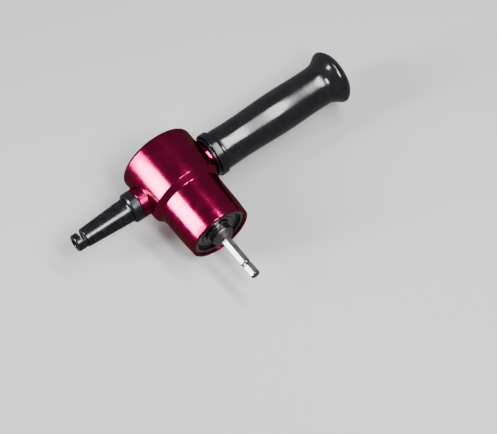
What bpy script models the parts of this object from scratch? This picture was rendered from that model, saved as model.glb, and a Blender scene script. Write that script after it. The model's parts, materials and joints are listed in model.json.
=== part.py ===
"""A double-headed sheet-metal nibbler that a power drill turns, as its separate pieces.

The drive barrel lies along Y with its hex shank towards -Y. The ram lies along X, with
one cutting head at each end of it. The handle screws over the +X head. All lengths below
are millimetres from the point where the two axes cross, and are turned into metres when
a mesh is made. +Z is up, and the tool lies with its barrel on the ground.
"""

import math

import bmesh
import bpy
from mathutils import Matrix, Vector

MM = 0.001
GAP = 0.3                      # left between pieces that touch

# Driving dimensions
BARREL_R = 27.2
BARREL_REAR = 22.0
BARREL_ROUND = 2.5             # round of the barrel's rear edge
LEAD_START = -7.0              # where the barrel starts to draw in a little
STEP_START = -13.7             # where its bevel down to the nose begins
STEP_R = 26.8
STEP_END = -18.0
NOSE_R = 23.2
NOSE_LEAD_START = -42.0        # where the nose draws in the same way
NOSE_LEAD_R = 22.9
NOSE_MOUTH_R = 22.3
NOSE_END = -51.3
SHANK_END = -90.0
HEX_FLATS = 6.35               # quarter-inch hex across flats
HEX_TURN = 45.0                # degrees from +X to one of its corners, as the shaft stands at rest
BOSS_R = 10.8                  # red side bosses that carry the heads
BOSS_END = 31.5
NECK_R = 8.9                   # male neck on each boss, inside the lock nut
NECK_END = 35.5
HEAD_END = 81.5
HANDLE_END = 136.5
THROW = 2.5                    # crank pin offset, half of the punch stroke

# The inside of the barrel
CHAMBER_R = 17.6
CHAMBER_FRONT = -11.0
CHAMBER_REAR = 16.0
RIB_R = 14.5                   # bore of the rib between the chamber and the bearings
RIB_FRONT = -13.7
TUBE_R = 17.8                  # bore that holds the inner bearing and the spacer
TUBE_FRONT = -36.0
SEAT_R = 20.0                  # seat of the front bearing
PLUG_SEAT_R = 19.0
SIDE_BORE_R = 7.6
MOUTH_LIP = 0.8                # outer chamfer of the nose's mouth
BORE_CHAMFER = 0.4             # inner chamfer of the same mouth

# Retaining rings: inner and outer radius, where each starts and ends, radius of its lugs,
# and the side that its opening faces, in degrees from +X towards +Z
REAR_RING = ((17.3, 19.8), (20.4, 21.2), 16.1, 20)
FRONT_RING = ((17.6, 20.8), (-50.1, -48.7), 15.4, 90)
SHAFT_RING = ((7.7, 9.6), (-50.1, -49.2), 11.2, 90)
RING_PLAY = 0.2                # how much wider each ring's groove is at either side

# Rear plug
PLUG_END = 19.8
SEAL_GROOVE = (17.1, 19.0, 17.3)     # from, to, and radius of its floor
SEAL_CORD_R = 0.6
SPANNER_HOLE_Z = 9.0
SPANNER_HOLE_R = 1.6
SPANNER_HOLE_FLOOR = 17.6

# Bearings: centre, width, outer radius, pitch radius, ball radius
FRONT_BEARING = (-42.25, 11.9, SEAT_R - GAP, 14.25, 3.2)
INNER_BEARING = (-19.0, 10.0, TUBE_R - GAP, 13.0, 2.4)
BALLS = 8
RACE_FACE = 0.68               # from the pitch circle to a race's edge, in ball radii
CAGE_HALF = (0.3, 0.4)         # the cage band's half thickness and half width, in ball radii
SPACER_BORE_R = 15.2
SHIELD = (12.4, 16.1, -47.9, -47.0)  # inner and outer radius, and where it starts and ends

# Drive shaft
JOURNAL_R = 8.2
SHOULDER_R = 10.4
CRANK_DISC_R = 12.0
CRANK_DISC = (-5.0, -10.6)     # its face towards the crank pin, and its back
BOSS_FACE = -53.6              # where the shaft's boss starts to narrow to the shank
BOSS_CONE_END = -57.5
BOSS_CONE_R = (7.4, 4.6)
SHANK_ROUND_R = 4.2            # outside the hexagon's corners
DETENT = (-77.6, -79.2, -80.8, -82.4)    # the groove that a quick-change chuck holds
DETENT_R = 2.8
SHANK_TIP = 1.2                # length of the chamfer at its end
SHANK_TIP_R = 2.9
PIN_CLIP_NECK = (5.0, 5.8, 1.7)
PIN_END = (6.4, 2.2)

# Ram, punches and heads, measured outwards along X
ROD_R = 4.5
ROD_END = 24.0
ROD_BORE_R = ROD_R + GAP
BUSH = (18.2, 28.0)
PUNCH_SHANK_R = 2.3
PUNCH_START = 16.1
PUNCH_SHOULDER = 46.0
PUNCH_R = 3.0
PUNCH_END = 76.2
PUNCH_BORE_R = PUNCH_R + GAP
CROSS_PIN_X = 20.0
CROSS_PIN_R = 0.9
YOKE_HALF = (12.5, 9.8)
YOKE_THICK = 8.0
YOKE_ROUND = 4.0
WINDOW_ROUND = 1.5
ROLLER_R = 4.0
ROLLER = (-4.7, 4.6)
PIN_R = 2.4
TUBE_START = 28.3              # the head tube, from inside its boss to inside its sleeve
TUBE_COLLAR = (35.8, 37.1)
TUBE_END = 44.0
TUBE_OUTER_R = 7.3
TUBE_THREAD_R = 7.0
NUT = (31.8, 37.3, 38.5)       # from, where its bevel starts, to
NUT_FACE_R = 9.6
NUT_LIP = 37.4                 # where the nut's inner lip starts
SLEEVE_START = 38.8
SLEEVE_END = 74.0
SLEEVE_R = (8.8, 6.7)          # at the nut and at the throat
SLEEVE_BORE = (44.3, 49.8, 61.7)     # where each narrower bore starts, and the die's seat
DIE_START = 62.0
DIE_SHOULDER = 74.3
DIE_ROUND = 1.5
DIE_SCREW_X = 68.0
DIE_SPIGOT_R = 5.0
DIE_R = 6.1
THROAT_END = 77.2
THROAT_FACE = -0.8             # the throat is cut to just past the head's axis
THROAT_TURN = 25.0             # degrees from +Y towards +Z that the throat opens

# Handle, measured along X
HUB_START = 27.6               # the flange's hub, which hides the boss
HUB_R = 13.4
FLANGE_START = 29.0
FLANGE_END = 34.6
FLANGE_R = 15.8
SPIGOT_R = 12.4
SPIGOT_END = 42.0
GRIP_BORE_R = 9.6
CAP_START = 120.0
CAP_SEAT = 134.3
CAP_SEAT_R = 12.5
CAP_END = 136.2
GRIP_STATIONS = [(34.9, 13.9), (38.0, 14.3), (55.0, 14.0), (85.0, 14.9), (108.0, 14.5),
                 (121.0, 14.7), (126.0, 16.4), (130.5, 19.2), (133.5, 18.8), (136.5, 15.6)]

FINE = 32
MEDIUM = 20
COARSE = 12

# The row's origin is under the middle of the tool, on the ground it lies on.
CROSSING = Vector(((HEAD_END - HANDLE_END) / 2, -(BARREL_REAR + SHANK_END) / 2, BARREL_R)) * MM

MATERIALS = {
    "red_anodised": ((0.42, 0.005, 0.075), 0.16, 0.9),
    "black_steel": ((0.018, 0.019, 0.026), 0.22, 0.6),
    "black_plastic": ((0.02, 0.021, 0.028), 0.18, 0.0),
    "ground_steel": ((0.42, 0.42, 0.44), 0.3, 1.0),
    "dark_steel": ((0.13, 0.125, 0.13), 0.35, 1.0),
    "bronze": ((0.55, 0.36, 0.16), 0.35, 1.0),
    "rubber": ((0.02, 0.02, 0.02), 0.7, 0.0),
}


# ---- Blender helpers ----------------------------------------------------------------

def clear_scene():
    for old in list(bpy.data.objects):
        bpy.data.objects.remove(old, do_unlink=True)


def make_material(name):
    colour, roughness, metallic = MATERIALS[name]
    material = bpy.data.materials.get(name)
    if material is None:
        material = bpy.data.materials.new(name)
        material.use_nodes = True
        shader = material.node_tree.nodes["Principled BSDF"]
        shader.inputs["Base Color"].default_value = (*colour, 1.0)
        shader.inputs["Roughness"].default_value = roughness
        shader.inputs["Metallic"].default_value = metallic
    return material


def make_empty(name, parent, offset=(0.0, 0.0, 0.0)):
    empty = bpy.data.objects.new(name, None)
    bpy.context.collection.objects.link(empty)
    empty.parent = parent
    empty.location = Vector(offset) * MM if parent else Vector(offset)
    return empty


def make_object(name, shape, parent, material=None):
    """Turns a bmesh in millimetres into an object; without a material it is a tool shape."""
    bmesh.ops.recalc_face_normals(shape, faces=shape.faces)
    bmesh.ops.scale(shape, vec=(MM, MM, MM), verts=shape.verts)
    mesh = bpy.data.meshes.new(name)
    shape.to_mesh(mesh)
    shape.free()
    piece = bpy.data.objects.new(name, mesh)
    bpy.context.collection.objects.link(piece)
    piece.parent = parent
    if material:
        mesh.materials.append(make_material(material))
        mesh.shade_smooth()
        mesh.set_sharp_from_angle(angle=math.radians(35))
    else:
        piece.hide_render = True
        piece.display_type = "WIRE"
    return piece


def combine(target, other, operation):
    change = target.modifiers.new(other.name, "BOOLEAN")
    change.operation = operation
    change.object = other


# ---- Shapes -------------------------------------------------------------------------

def arc(centre_u, centre_r, radius, start, end, steps):
    """Points (along, radius) on an arc; 0 degrees points along the axis, 90 outwards."""
    points = []
    for step in range(steps + 1):
        angle = math.radians(start + (end - start) * step / steps)
        points.append((centre_u + radius * math.cos(angle), centre_r + radius * math.sin(angle)))
    return points


def smooth_line(stations, steps):
    """A Catmull-Rom curve through the stations."""
    padded = [stations[0]] + list(stations) + [stations[-1]]
    points = [stations[0]]
    for before, start, end, after in zip(padded, padded[1:], padded[2:], padded[3:]):
        for step in range(1, steps + 1):
            t = step / steps
            point = []
            for a, b, c, d in zip(before, start, end, after):
                bend = (2 * a - 5 * b + 4 * c - d) * t * t
                tail = (3 * b - a - 3 * c + d) * t * t * t
                point.append((2 * b + (c - a) * t + bend + tail) / 2)
            points.append(tuple(point))
    return points


def axis_point(axis, along, across, up):
    """A point by its place along a named axis and in the plane square to it."""
    if axis == "Y":
        return Vector((across, along, up))
    return Vector((along, across, up))


def turned(outline, axis="Y", segments=FINE, side=1):
    """A lathe shape. An outline that starts and ends on the axis is solid, any other is a ring."""
    shape = bmesh.new()
    rings = []
    for along, radius in outline:
        if radius == 0.0:
            rings.append([shape.verts.new(axis_point(axis, along * side, 0.0, 0.0))])
            continue
        ring = []
        for segment in range(segments):
            angle = 2 * math.pi * segment / segments
            place = axis_point(axis, along * side, radius * math.cos(angle), radius * math.sin(angle))
            ring.append(shape.verts.new(place))
        rings.append(ring)
    solid = outline[0][1] == 0.0
    pairs = list(zip(rings, rings[1:]))
    if not solid:
        pairs.append((rings[-1], rings[0]))
    for near, far in pairs:
        for segment in range(segments):
            after = (segment + 1) % segments
            corners = [near[segment % len(near)], far[segment % len(far)],
                       far[after % len(far)], near[after % len(near)]]
            shape.faces.new(list(dict.fromkeys(corners)))
    return shape


def rod(radius, start, end):
    """The outline of a plain solid bar."""
    return [(start, 0.0), (start, radius), (end, radius), (end, 0.0)]


def tube(inner, outer, start, end):
    """The outline of a plain ring."""
    return [(start, inner), (start, outer), (end, outer), (end, inner)]


def extruded(outline, start, end):
    """A prism along Y over a closed outline of (x, z) points."""
    shape = bmesh.new()
    front = [shape.verts.new((x, start, z)) for x, z in outline]
    back = [shape.verts.new((x, end, z)) for x, z in outline]
    shape.faces.new(front)
    shape.faces.new(back[::-1])
    for corner in range(len(outline)):
        after = (corner + 1) % len(outline)
        shape.faces.new([front[corner], back[corner], back[after], front[after]])
    return shape


def rounded_box(half_x, half_z, radius, steps=4):
    """A rectangle's outline with round corners, as (x, z) points."""
    points = []
    for turn, (sign_x, sign_z) in enumerate([(1, 1), (-1, 1), (-1, -1), (1, -1)]):
        centre = (sign_x * (half_x - radius), sign_z * (half_z - radius))
        points += arc(*centre, radius, 90 * turn, 90 * turn + 90, steps)
    return points


def block(low, high):
    shape = bmesh.new()
    bmesh.ops.create_cube(shape, size=1.0)
    size = [b - a for a, b in zip(low, high)]
    middle = [(a + b) / 2 for a, b in zip(low, high)]
    bmesh.ops.scale(shape, vec=size, verts=shape.verts)
    bmesh.ops.translate(shape, vec=middle, verts=shape.verts)
    return shape


def pins(places, radius, start, end, axis="Y", segments=16):
    """One shape holding a bar at each (across, up) place."""
    shape = bmesh.new()
    for across, up in places:
        bar = turned(rod(radius, start, end), axis, segments)
        bmesh.ops.translate(bar, vec=axis_point(axis, 0.0, across, up), verts=bar.verts)
        spare = bpy.data.meshes.new("bar")
        bar.to_mesh(spare)
        bar.free()
        shape.from_mesh(spare)
        bpy.data.meshes.remove(spare)
    return shape


def on_circle(radius, degrees):
    angle = math.radians(degrees)
    return (radius * math.cos(angle), radius * math.sin(angle))


# ---- Barrel -------------------------------------------------------------------------

def make_housing(root):
    outside = [(BARREL_REAR, 0.0)]
    outside += arc(BARREL_REAR - BARREL_ROUND, BARREL_R - BARREL_ROUND, BARREL_ROUND, 0, 90, 4)
    outside += [(LEAD_START, BARREL_R), (STEP_START, STEP_R), (STEP_END, NOSE_R),
                (NOSE_LEAD_START, NOSE_LEAD_R), (NOSE_END + MOUTH_LIP, NOSE_MOUTH_R),
                (NOSE_END, NOSE_MOUTH_R - MOUTH_LIP), (NOSE_END, 0.0)]
    housing = make_object("housing", turned(outside), root, "red_anodised")
    half_bar = [(0.0, 0.0), (0.0, BOSS_R), (BOSS_END, BOSS_R), (BOSS_END, NECK_R),
                (NECK_END, NECK_R), (NECK_END, 0.0)]
    bar = [(-along, radius) for along, radius in half_bar[:1:-1]] + half_bar[2:]
    combine(housing, make_object("boss_bar", turned(bar, "X"), root), "UNION")
    flare = BORE_CHAMFER + 1           # the cutter runs on 1 mm past the mouth
    inside = [(BARREL_REAR + 1, 0.0), (BARREL_REAR + 1, PLUG_SEAT_R)]
    inside += ring_groove(REAR_RING, PLUG_SEAT_R)
    inside += [(CHAMBER_REAR, PLUG_SEAT_R), (CHAMBER_REAR, CHAMBER_R), (CHAMBER_FRONT, CHAMBER_R),
               (CHAMBER_FRONT, RIB_R), (RIB_FRONT, RIB_R), (RIB_FRONT, TUBE_R),
               (TUBE_FRONT, TUBE_R), (TUBE_FRONT, SEAT_R)]
    inside += ring_groove(FRONT_RING, SEAT_R)
    inside += [(NOSE_END + BORE_CHAMFER, SEAT_R), (NOSE_END - 1, SEAT_R + flare), (NOSE_END - 1, 0.0)]
    combine(housing, make_object("housing_bore", turned(inside), root), "DIFFERENCE")
    side_bore = turned(rod(SIDE_BORE_R, -NECK_END - 1, NECK_END + 1), "X", MEDIUM)
    combine(housing, make_object("side_bore", side_bore, root), "DIFFERENCE")


def ring_groove(ring, surface_r):
    """The corners of a retaining ring's groove in a bore or a shaft, from its rear end.
    A ring sits mostly inside the bore, or mostly outside the shaft, that it is sprung into."""
    (inner, outer), (front, rear), _, _ = ring
    floor = outer + GAP if surface_r - inner > outer - surface_r else inner - GAP
    front -= RING_PLAY
    rear += RING_PLAY
    return [(rear, surface_r), (rear, floor), (front, floor), (front, surface_r)]


def make_rear_plug(root):
    edge = PLUG_SEAT_R - GAP
    groove_start, groove_end, floor = SEAL_GROOVE
    outline = [(CHAMBER_REAR + GAP, 0.0), (CHAMBER_REAR + GAP, edge), (groove_start, edge),
               (groove_start, floor), (groove_end, floor), (groove_end, edge), (PLUG_END, edge),
               (PLUG_END, 0.0)]
    plug = make_object("rear_plug", turned(outline), root, "black_steel")
    places = [(0.0, -SPANNER_HOLE_Z), (0.0, SPANNER_HOLE_Z)]
    holes = pins(places, SPANNER_HOLE_R, SPANNER_HOLE_FLOOR, PLUG_END + 1)
    combine(plug, make_object("spanner_holes", holes, root), "DIFFERENCE")
    seal_y = (groove_start + groove_end) / 2
    seal = turned(arc(seal_y, edge - SEAL_CORD_R, SEAL_CORD_R, 0, 300, 5), "Y", MEDIUM)
    make_object("rear_o_ring", seal, root, "rubber")
    make_circlip("rear_circlip", root, REAR_RING, "ground_steel")


def make_circlip(name, parent, ring, material):
    """A spring ring open at one side, with two drilled lugs that stand off its free edge."""
    (inner, outer), span, lug_r, facing = ring
    free_r, lug_turn, half_gap = (inner, 12.0, 6.0) if lug_r < inner else (outer, 18.0, 9.0)
    fixed_r = outer if free_r == inner else inner
    start = facing + half_gap
    end = facing + 360 - half_gap
    steps = 24
    free_edge = []
    for step in range(steps + 1):
        degrees = start + lug_turn + (end - start - 2 * lug_turn) * step / steps
        free_edge.append(on_circle(free_r, degrees))
    lug_edge = [on_circle(lug_r, start), on_circle(lug_r, start + lug_turn)]
    lug_edge_back = [on_circle(lug_r, end - lug_turn), on_circle(lug_r, end)]
    fixed_edge = [on_circle(fixed_r, end + (start - end) * step / steps) for step in range(steps + 1)]
    outline = lug_edge + free_edge + lug_edge_back + fixed_edge
    clip = make_object(name, extruded(outline, *span), parent, material)
    middle = (lug_r + fixed_r) / 2
    places = [on_circle(middle, start + lug_turn / 2), on_circle(middle, end - lug_turn / 2)]
    eyes = pins(places, 0.6, span[0] - 1, span[1] + 1, segments=10)
    combine(clip, make_object(name + "_eyes", eyes, parent), "DIFFERENCE")


def make_bearing(prefix, size, material, static, shaft, cage):
    """Two grooved rings, and the balls held together by their cage."""
    centre, width, outer, pitch, ball = size
    groove = ball + GAP
    face = RACE_FACE * ball
    reach = math.degrees(math.asin(face / groove))
    low = centre - width / 2
    high = centre + width / 2
    outer_ring = [(low, outer), (high, outer), (high, pitch + face)]
    outer_ring += arc(centre, pitch, groove, reach, 180 - reach, 4) + [(low, pitch + face)]
    make_object(prefix + "_bearing_outer", turned(outer_ring, "Y", MEDIUM), static, material)
    bore = JOURNAL_R + GAP
    inner_ring = [(high, bore), (low, bore), (low, pitch - face)]
    inner_ring += arc(centre, pitch, groove, 180 + reach, 360 - reach, 4) + [(high, pitch - face)]
    make_object(prefix + "_bearing_inner", turned(inner_ring, "Y", MEDIUM), shaft, material)
    thick, wide = [share * ball for share in CAGE_HALF]
    band = tube(pitch - thick, pitch + thick, centre - wide, centre + wide)
    set_of_balls = make_object(prefix + "_bearing_balls", turned(band, "Y", MEDIUM), cage, "ground_steel")
    spheres = bmesh.new()
    for number in range(BALLS):
        across, up = on_circle(pitch, 360 * number / BALLS + 2)
        place = Matrix.Translation((across, centre, up))
        bmesh.ops.create_uvsphere(spheres, u_segments=8, v_segments=4, radius=ball, matrix=place)
    combine(set_of_balls, make_object(prefix + "_spheres", spheres, cage), "UNION")


def make_barrel_parts(root):
    inner_centre, inner_width = INNER_BEARING[:2]
    spacer_end = inner_centre - inner_width / 2 - GAP
    spacer = turned(tube(SPACER_BORE_R, TUBE_R - GAP, TUBE_FRONT, spacer_end), "Y", MEDIUM)
    make_object("outer_spacer", spacer, root, "ground_steel")
    make_object("front_bearing_shield", turned(tube(*SHIELD), "Y", MEDIUM), root, "dark_steel")
    make_circlip("front_circlip", root, FRONT_RING, "dark_steel")
    for name, side in (("left", -1), ("right", 1)):
        bush = turned(tube(ROD_BORE_R, SIDE_BORE_R - GAP, *BUSH), "X", COARSE, side)
        make_object("guide_bush_" + name, bush, root, "bronze")


# ---- Drive shaft --------------------------------------------------------------------

def make_shaft(shaft, pin):
    disc_face, disc_back = CRANK_DISC
    outline = [(disc_face, 0.0), (disc_face, CRANK_DISC_R - 0.5), (disc_face - 0.5, CRANK_DISC_R),
               (disc_back, CRANK_DISC_R), (disc_back, SHOULDER_R), (RIB_FRONT, SHOULDER_R),
               (RIB_FRONT, JOURNAL_R)]
    outline += ring_groove(SHAFT_RING, JOURNAL_R)
    outline += [(BOSS_FACE, JOURNAL_R), (BOSS_FACE - 0.8, BOSS_CONE_R[0]),
                (BOSS_CONE_END, BOSS_CONE_R[1]), (BOSS_CONE_END, 0.0)]
    body = make_object("drive_shaft", turned(outline, "Y", MEDIUM), shaft, "dark_steel")
    corner = HEX_FLATS / 2 / math.cos(math.radians(30))
    hexagon = [on_circle(corner, HEX_TURN + 60 * number) for number in range(6)]
    shank_start = BOSS_CONE_END + 1
    shank = make_object("hex_shank", extruded(hexagon, SHANK_END, shank_start), shaft)
    limit = [(shank_start + 0.5, 0.0), (shank_start + 0.5, SHANK_ROUND_R)]
    limit += zip(DETENT, (SHANK_ROUND_R, DETENT_R, DETENT_R, SHANK_ROUND_R))
    limit += [(SHANK_END + SHANK_TIP, SHANK_ROUND_R), (SHANK_END, SHANK_TIP_R), (SHANK_END, 0.0)]
    combine(shank, make_object("shank_limit", turned(limit, "Y", COARSE), shaft), "INTERSECT")
    combine(body, shank, "UNION")
    neck_start, neck_end, neck_r = PIN_CLIP_NECK
    pin_end, head_r = PIN_END
    crank_pin = [(disc_face - 0.5, 0.0), (disc_face - 0.5, PIN_R), (neck_start, PIN_R),
                 (neck_start, neck_r), (neck_end, neck_r), (neck_end, head_r), (pin_end, head_r),
                 (pin_end, 0.0)]
    combine(body, make_object("crank_pin", turned(crank_pin, "Y", 24), pin), "UNION")
    make_circlip("shaft_circlip", shaft, SHAFT_RING, "dark_steel")
    clip = tube(neck_r + GAP, ROLLER_R - 0.4, neck_start + 0.05, neck_end - 0.1)
    make_object("crank_pin_clip", turned(clip, "Y", 24), pin, "ground_steel")
    roller = turned(tube(PIN_R + GAP, ROLLER_R, *ROLLER), "Y", COARSE)
    make_object("crank_roller", roller, pin, "ground_steel")


# ---- Ram and punches ----------------------------------------------------------------

def make_ram(ram):
    """The ram's own middle is half a stroke from the crossing while the left punch is back."""
    half_thick = YOKE_THICK / 2
    ring = extruded(rounded_box(*YOKE_HALF, YOKE_ROUND), -half_thick, half_thick)
    yoke = make_object("ram_yoke", ring, ram, "ground_steel")
    rods = turned(rod(ROD_R, -ROD_END, ROD_END), "X", COARSE)
    combine(yoke, make_object("ram_rods", rods, ram), "UNION")
    window_half = (ROLLER_R + 2 * THROW + 0.4, ROLLER_R + THROW + 0.4)
    window = extruded(rounded_box(*window_half, WINDOW_ROUND), -half_thick - 2, half_thick + 2)
    combine(yoke, make_object("yoke_window", window, ram), "DIFFERENCE")
    for name, side in (("left", -1), ("right", 1)):
        socket = turned(rod(PUNCH_SHANK_R + GAP, PUNCH_START - GAP, ROD_END + 1), "X", 24, side)
        combine(yoke, make_object("socket_" + name, socket, ram), "DIFFERENCE")
        make_punch(name, side, ram, yoke)


def make_punch(name, side, ram, yoke):
    outline = [(PUNCH_START, 0.0), (PUNCH_START, PUNCH_SHANK_R), (ROD_END + GAP, PUNCH_SHANK_R),
               (ROD_END + GAP, ROD_R), (PUNCH_SHOULDER, ROD_R),
               (PUNCH_SHOULDER + ROD_R - PUNCH_R, PUNCH_R), (PUNCH_END, PUNCH_R), (PUNCH_END, 0.0)]
    punch = make_object("punch_" + name, turned(outline, "X", COARSE, side), ram, "ground_steel")
    hole = upright_bar(rod(CROSS_PIN_R + GAP, -ROD_R - 1.5, ROD_R + 1.5), CROSS_PIN_X * side)
    cross = make_object("cross_hole_" + name, hole, ram)
    combine(yoke, cross, "DIFFERENCE")
    combine(punch, cross, "DIFFERENCE")
    pin = upright_bar(rod(CROSS_PIN_R, GAP - ROD_R, ROD_R - GAP), CROSS_PIN_X * side)
    make_object("punch_pin_" + name, pin, ram, "dark_steel")


def upright_bar(outline, x):
    """A lathe shape along Z at one place on the ram's axis."""
    bar = turned(outline, "Y", 16)
    upright = Matrix.Rotation(math.radians(90), 3, "X")
    bmesh.ops.rotate(bar, cent=(0, 0, 0), matrix=upright, verts=bar.verts)
    bmesh.ops.translate(bar, vec=(x, 0, 0), verts=bar.verts)
    return bar


# ---- Cutting heads ------------------------------------------------------------------

def make_head(name, side, head, nut):
    collar_start, collar_end = TUBE_COLLAR
    tail = [(TUBE_START, ROD_BORE_R), (TUBE_START, TUBE_OUTER_R), (collar_start, TUBE_OUTER_R),
            (collar_start, NECK_R), (collar_end, NECK_R), (collar_end, TUBE_THREAD_R),
            (TUBE_END, TUBE_THREAD_R), (TUBE_END, ROD_BORE_R)]
    make_object("head_tube_" + name, turned(tail, "X", MEDIUM, side), head, "dark_steel")
    nut_start, bevel_start, nut_end = NUT
    collar = [(nut_start, NECK_R + GAP), (nut_start, BOSS_R), (bevel_start, BOSS_R),
              (nut_end, NUT_FACE_R), (nut_end, TUBE_OUTER_R), (NUT_LIP, TUBE_OUTER_R),
              (NUT_LIP, NECK_R + GAP)]
    make_object("lock_nut_" + name, turned(collar, "X", FINE, side), nut, "black_steel")
    make_sleeve(name, side, head)
    make_die(name, side, head)


def make_sleeve(name, side, head):
    thick, thin = SLEEVE_R
    thread_end, core_end, seat = SLEEVE_BORE
    outline = [(SLEEVE_START, TUBE_OUTER_R), (SLEEVE_START, thick - 0.6), (SLEEVE_START + 0.6, thick),
               (SLEEVE_END - 0.4, thin), (SLEEVE_END, thin - 0.4), (SLEEVE_END, DIE_SPIGOT_R + GAP),
               (seat, DIE_SPIGOT_R + GAP), (seat, PUNCH_BORE_R), (core_end, PUNCH_BORE_R),
               (core_end, ROD_BORE_R), (thread_end, ROD_BORE_R), (thread_end, TUBE_OUTER_R)]
    sleeve = make_object("head_sleeve_" + name, turned(outline, "X", MEDIUM, side), head, "black_steel")
    hole = upright_bar(rod(1.5, -9.0, -4.0), DIE_SCREW_X * side)
    combine(sleeve, make_object("screw_hole_" + name, hole, head), "DIFFERENCE")
    screw = [(-6.75, 0.0), (-6.75, 1.0), (-6.55, 1.2), (-5.4, 1.2), (-5.4, 0.0)]
    make_object("die_screw_" + name, upright_bar(screw, DIE_SCREW_X * side), head, "dark_steel")


def make_die(name, side, head):
    outline = [(DIE_START, PUNCH_BORE_R), (DIE_START, DIE_SPIGOT_R), (DIE_SHOULDER, DIE_SPIGOT_R),
               (DIE_SHOULDER, DIE_R)]
    outline += arc(HEAD_END - DIE_ROUND, DIE_R - DIE_ROUND, DIE_ROUND, 90, 0, 4)
    outline += [(HEAD_END, PUNCH_BORE_R + 0.4), (HEAD_END - 0.4, PUNCH_BORE_R)]
    die = make_object("die_" + name, turned(outline, "X", MEDIUM, side), head, "black_steel")
    throat = block((SLEEVE_END, THROAT_FACE, -10.0), (THROAT_END, 10.0, 10.0))
    if side < 0:
        bmesh.ops.scale(throat, vec=(-1, 1, 1), verts=throat.verts)
    turn = Matrix.Rotation(math.radians(THROAT_TURN), 3, "X")
    bmesh.ops.rotate(throat, cent=(0, 0, 0), matrix=turn, verts=throat.verts)
    combine(die, make_object("throat_" + name, throat, head), "DIFFERENCE")


# ---- Handle -------------------------------------------------------------------------

def make_handle(handle):
    flange_bore = BOSS_R + GAP
    flange = [(HUB_START, flange_bore), (HUB_START, HUB_R), (FLANGE_START, HUB_R),
              (FLANGE_START, FLANGE_R - 0.6),
              (FLANGE_START + 0.6, FLANGE_R), (FLANGE_END - 0.6, FLANGE_R),
              (FLANGE_END, FLANGE_R - 0.6), (FLANGE_END, SPIGOT_R), (SPIGOT_END, SPIGOT_R),
              (SPIGOT_END, flange_bore)]
    make_object("handle_flange", turned(flange, "X", FINE), handle, "black_steel")
    grip = smooth_line(GRIP_STATIONS, 2)
    grip += [(HANDLE_END, CAP_SEAT_R), (CAP_SEAT, CAP_SEAT_R), (CAP_SEAT, GRIP_BORE_R),
             (SPIGOT_END + GAP, GRIP_BORE_R), (SPIGOT_END + GAP, SPIGOT_R + GAP),
             (GRIP_STATIONS[0][0], SPIGOT_R + GAP)]
    make_object("handle_grip", turned(grip, "X", FINE), handle, "black_plastic")
    plug_r = GRIP_BORE_R - GAP
    rim_r = CAP_SEAT_R - GAP
    cap = [(CAP_START, 0.0), (CAP_START, plug_r - 0.4), (CAP_START + 0.4, plug_r),
           (CAP_SEAT + GAP, plug_r), (CAP_SEAT + GAP, rim_r), (CAP_END - 0.4, rim_r),
           (CAP_END, rim_r - 0.4), (CAP_END, 0.0)]
    make_object("handle_end_cap", turned(cap, "X", MEDIUM), handle, "black_plastic")


def main():
    clear_scene()
    tool = make_empty("tool_axes", None, CROSSING)
    shaft = make_empty("shaft_axis", tool)
    pin = make_empty("crank_pin_axis", shaft, (THROW, 0.0, 0.0))
    ram = make_empty("ram_axis", tool, (THROW, 0.0, 0.0))
    handle = make_empty("handle_axis", tool)
    make_housing(tool)
    make_rear_plug(tool)
    make_barrel_parts(tool)
    for prefix, size, material in (("front", FRONT_BEARING, "dark_steel"),
                                   ("inner", INNER_BEARING, "ground_steel")):
        cage = make_empty(prefix + "_cage_axis", tool)
        make_bearing(prefix, size, material, tool, shaft, cage)
    make_shaft(shaft, pin)
    make_ram(ram)
    for name, side in (("left", -1), ("right", 1)):
        head = make_empty("head_axis_" + name, tool)
        nut = make_empty("nut_axis_" + name, tool)
        make_head(name, side, head, nut)
    make_handle(handle)


main()
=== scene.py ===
import json
import math

import bmesh
import bpy
from mathutils import Matrix, Vector

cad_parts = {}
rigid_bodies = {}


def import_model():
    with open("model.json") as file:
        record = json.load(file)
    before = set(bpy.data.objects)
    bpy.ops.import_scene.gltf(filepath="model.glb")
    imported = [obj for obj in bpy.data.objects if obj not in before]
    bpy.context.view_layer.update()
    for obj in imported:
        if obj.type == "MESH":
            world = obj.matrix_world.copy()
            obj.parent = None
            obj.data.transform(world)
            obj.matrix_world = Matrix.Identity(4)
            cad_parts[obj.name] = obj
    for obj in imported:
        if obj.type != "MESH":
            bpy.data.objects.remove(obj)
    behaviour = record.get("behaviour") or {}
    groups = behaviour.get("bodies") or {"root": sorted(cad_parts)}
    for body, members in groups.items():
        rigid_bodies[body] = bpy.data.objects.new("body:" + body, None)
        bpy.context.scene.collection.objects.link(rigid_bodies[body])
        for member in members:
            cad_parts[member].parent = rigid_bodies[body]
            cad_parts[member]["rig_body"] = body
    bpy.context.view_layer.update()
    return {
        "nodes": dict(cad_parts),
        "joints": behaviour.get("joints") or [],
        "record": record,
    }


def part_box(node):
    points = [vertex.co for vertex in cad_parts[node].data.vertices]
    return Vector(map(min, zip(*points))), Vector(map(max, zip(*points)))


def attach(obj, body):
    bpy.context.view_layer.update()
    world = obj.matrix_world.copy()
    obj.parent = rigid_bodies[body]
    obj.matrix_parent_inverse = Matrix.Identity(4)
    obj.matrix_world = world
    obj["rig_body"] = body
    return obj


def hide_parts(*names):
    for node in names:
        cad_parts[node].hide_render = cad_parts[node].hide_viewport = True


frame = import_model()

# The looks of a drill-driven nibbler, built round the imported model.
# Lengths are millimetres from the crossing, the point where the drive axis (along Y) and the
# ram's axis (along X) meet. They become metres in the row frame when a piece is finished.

MM = 0.001
JOINTS = {joint["name"]: joint for joint in frame["joints"]}
SLOTS = {part["node"]: part["material_slot"] for part in frame["record"]["subparts"]}
CROSSING = Vector(JOINTS["shaft_spin"]["pos_m"])
SIDES = (("left", -1), ("right", 1))

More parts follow.
